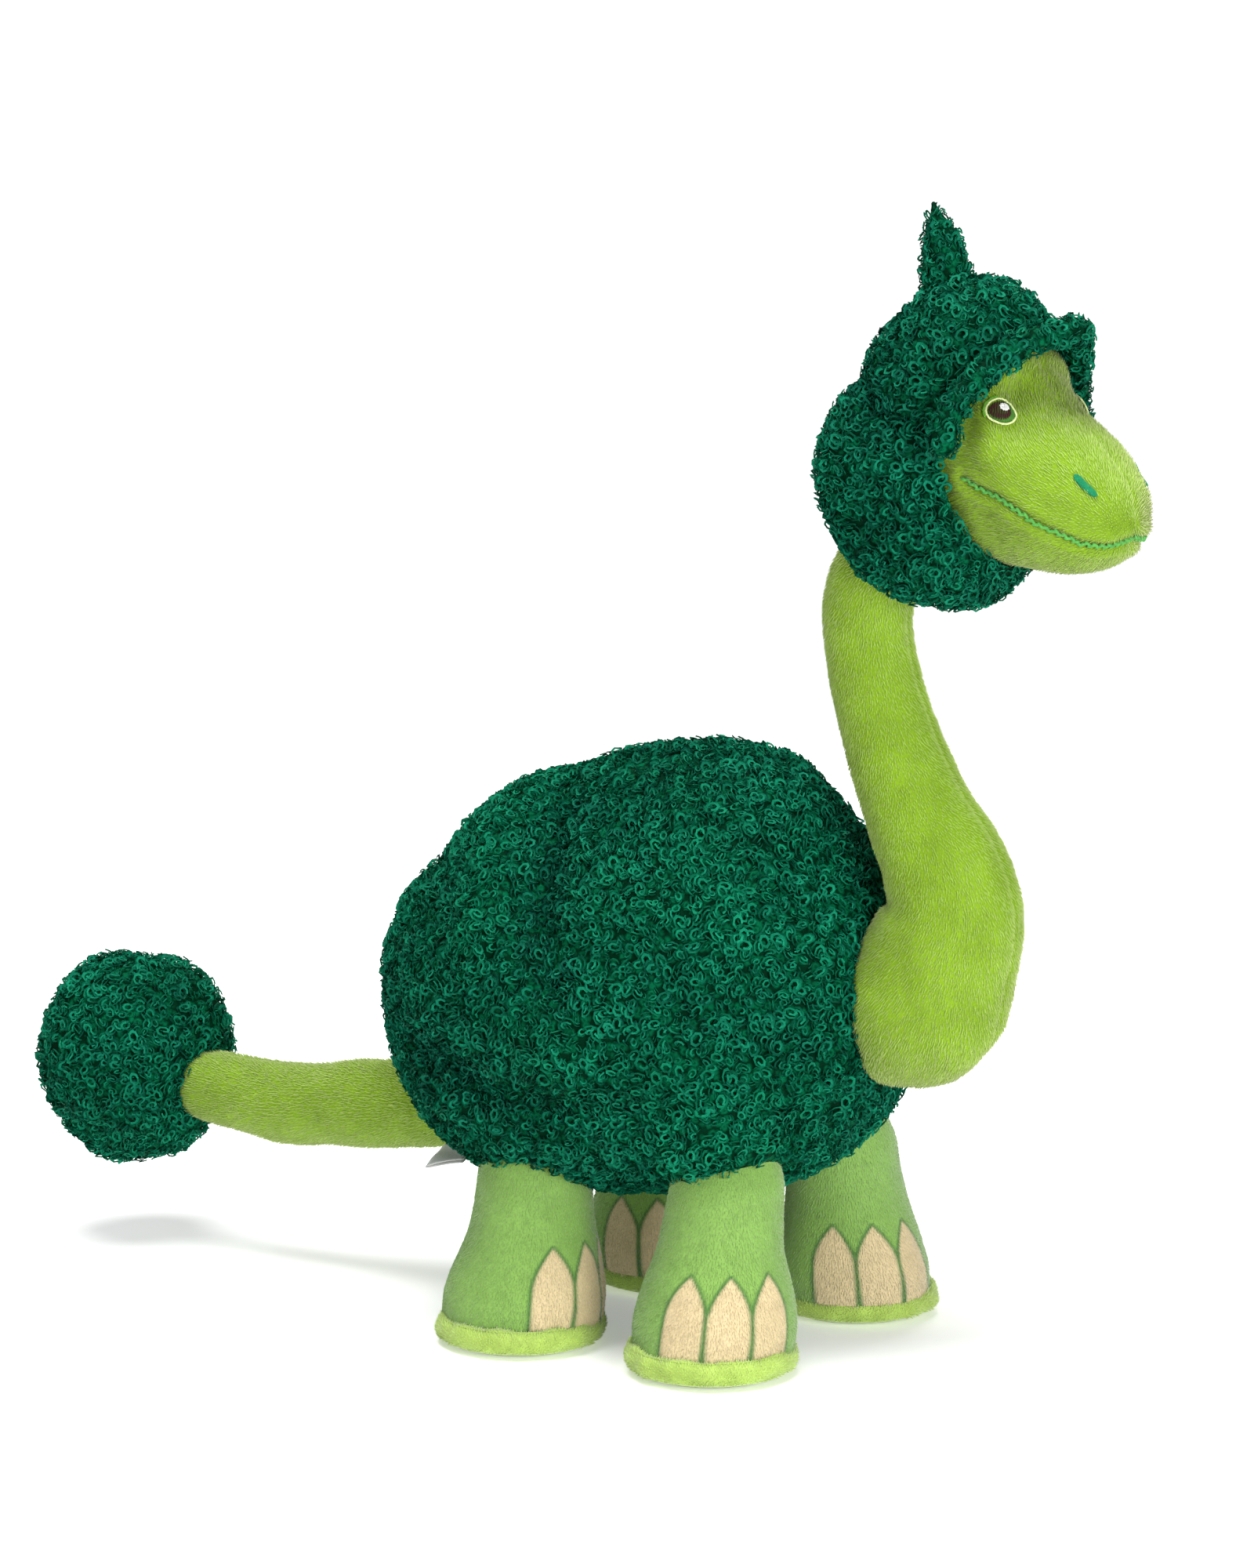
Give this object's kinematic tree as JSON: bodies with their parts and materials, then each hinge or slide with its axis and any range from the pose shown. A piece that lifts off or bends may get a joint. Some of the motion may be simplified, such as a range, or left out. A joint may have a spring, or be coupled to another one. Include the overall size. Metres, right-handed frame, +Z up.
{
  "type": "stuffed dinosaur",
  "caption": "Standing stuffed dinosaur with a curly torso, hood, horn and tail club, a plush neck, face and tail, and puffy feet.",
  "frame": {"origin": "centre of the bounding box in plan, on the floor under the soles", "axes": "+X towards the nose, +Y to the dinosaur's left, +Z up"},
  "size_m": [0.3606, 0.1314, 0.3167],
  "materials": {
    "boucle": "curly boucle, deep emerald",
    "plush_lime": "short silky pile, lime",
    "plush_leg": "short printed pile, mid green with beige toenails",
    "sole": "puffy short pile, bright lime",
    "filling": "loose polyester fibre",
    "pellets": "cotton pouch of plastic pellets",
    "eye": "embroidered, brown iris in a pale ring",
    "thread": "embroidery thread, satin",
    "satin": "white woven satin ribbon, blank"
  },
  "bodies": {
    "torso": {"torso_cover_left": "boucle", "torso_cover_right": "boucle", "belly_panel": "boucle", "torso_stuffing": "filling"},
    "label": {"care_label": "satin"},
    "neck": {"neck_cover_left": "plush_lime", "neck_cover_right": "plush_lime", "neck_stuffing": "filling"},
    "head": {"face_cover_left": "plush_lime", "face_cover_right": "plush_lime", "head_stuffing": "filling", "eye_left": "eye", "eye_right": "eye", "nostril_left": "thread", "nostril_right": "thread", "mouth_stitch": "thread", "hood_left": "boucle", "hood_right": "boucle", "hood_brim": "boucle"},
    "horn": {"horn_cover": "boucle", "horn_stuffing": "filling"},
    "tail": {"tail_cover_left": "plush_lime", "tail_cover_right": "plush_lime", "tail_stuffing": "filling"},
    "club": {"club_cover_left": "boucle", "club_cover_right": "boucle", "club_stuffing": "filling"},
    "leg_front_left": {"leg_cover_front_left": "plush_leg", "sole_front_left": "sole", "leg_stuffing_front_left": "filling", "pellet_pouch_front_left": "pellets"},
    "leg_front_right": {"leg_cover_front_right": "plush_leg", "sole_front_right": "sole", "leg_stuffing_front_right": "filling", "pellet_pouch_front_right": "pellets"},
    "leg_rear_left": {"leg_cover_rear_left": "plush_leg", "sole_rear_left": "sole", "leg_stuffing_rear_left": "filling", "pellet_pouch_rear_left": "pellets"},
    "leg_rear_right": {"leg_cover_rear_right": "plush_leg", "sole_rear_right": "sole", "leg_stuffing_rear_right": "filling", "pellet_pouch_rear_right": "pellets"}
  },
  "joints": [
    {"name": "neck_nod", "type": "hinge", "parent": "torso", "child": "neck", "pos_m": [0.118, 0, 0.101], "axis": [0, 1, 0], "range_deg": [-6, 20], "stiffness_Nm_per_rad": 1.5},
    {"name": "head_turn", "type": "hinge", "parent": "neck", "child": "head", "pos_m": [0.112, 0, 0.229], "axis": [0.6357, 0, 0.7719], "range_deg": [-25, 25], "stiffness_Nm_per_rad": 0.5},
    {"name": "horn_bend", "type": "hinge", "parent": "head", "child": "horn", "pos_m": [0.1215, 0, 0.2929], "axis": [0, 1, 0], "range_deg": [-30, 30], "stiffness_Nm_per_rad": 0.02},
    {"name": "tail_swing", "type": "hinge", "parent": "torso", "child": "tail", "pos_m": [-0.03913, 0, 0.054], "axis": [0, 0, 1], "range_deg": [-25, 25], "stiffness_Nm_per_rad": 0.6},
    {"name": "club_bob", "type": "hinge", "parent": "tail", "child": "club", "pos_m": [-0.12813, 0, 0.05], "axis": [0, 1, 0], "range_deg": [-20, 20], "stiffness_Nm_per_rad": 0.25},
    {"name": "label_flap", "type": "hinge", "parent": "torso", "child": "label", "pos_m": [-0.02123, -0.015, 0.04496], "axis": [0, 1, 0], "range_deg": [-60, 5], "stiffness_Nm_per_rad": 0.0005},
    {"name": "leg_swing_front_left", "type": "hinge", "parent": "torso", "child": "leg_front_left", "pos_m": [0.0735, 0.03, 0.058], "axis": [0, 1, 0], "range_deg": [-12, 12], "stiffness_Nm_per_rad": 0.8},
    {"name": "leg_swing_front_right", "type": "hinge", "parent": "torso", "child": "leg_front_right", "pos_m": [0.0735, -0.03, 0.058], "axis": [0, 1, 0], "range_deg": [-12, 12], "stiffness_Nm_per_rad": 0.8},
    {"name": "leg_swing_rear_left", "type": "hinge", "parent": "torso", "child": "leg_rear_left", "pos_m": [0.012, 0.03, 0.058], "axis": [0, 1, 0], "range_deg": [-12, 12], "stiffness_Nm_per_rad": 0.8},
    {"name": "leg_swing_rear_right", "type": "hinge", "parent": "torso", "child": "leg_rear_right", "pos_m": [0.012, -0.03, 0.058], "axis": [0, 1, 0], "range_deg": [-12, 12], "stiffness_Nm_per_rad": 0.8}
  ]
}
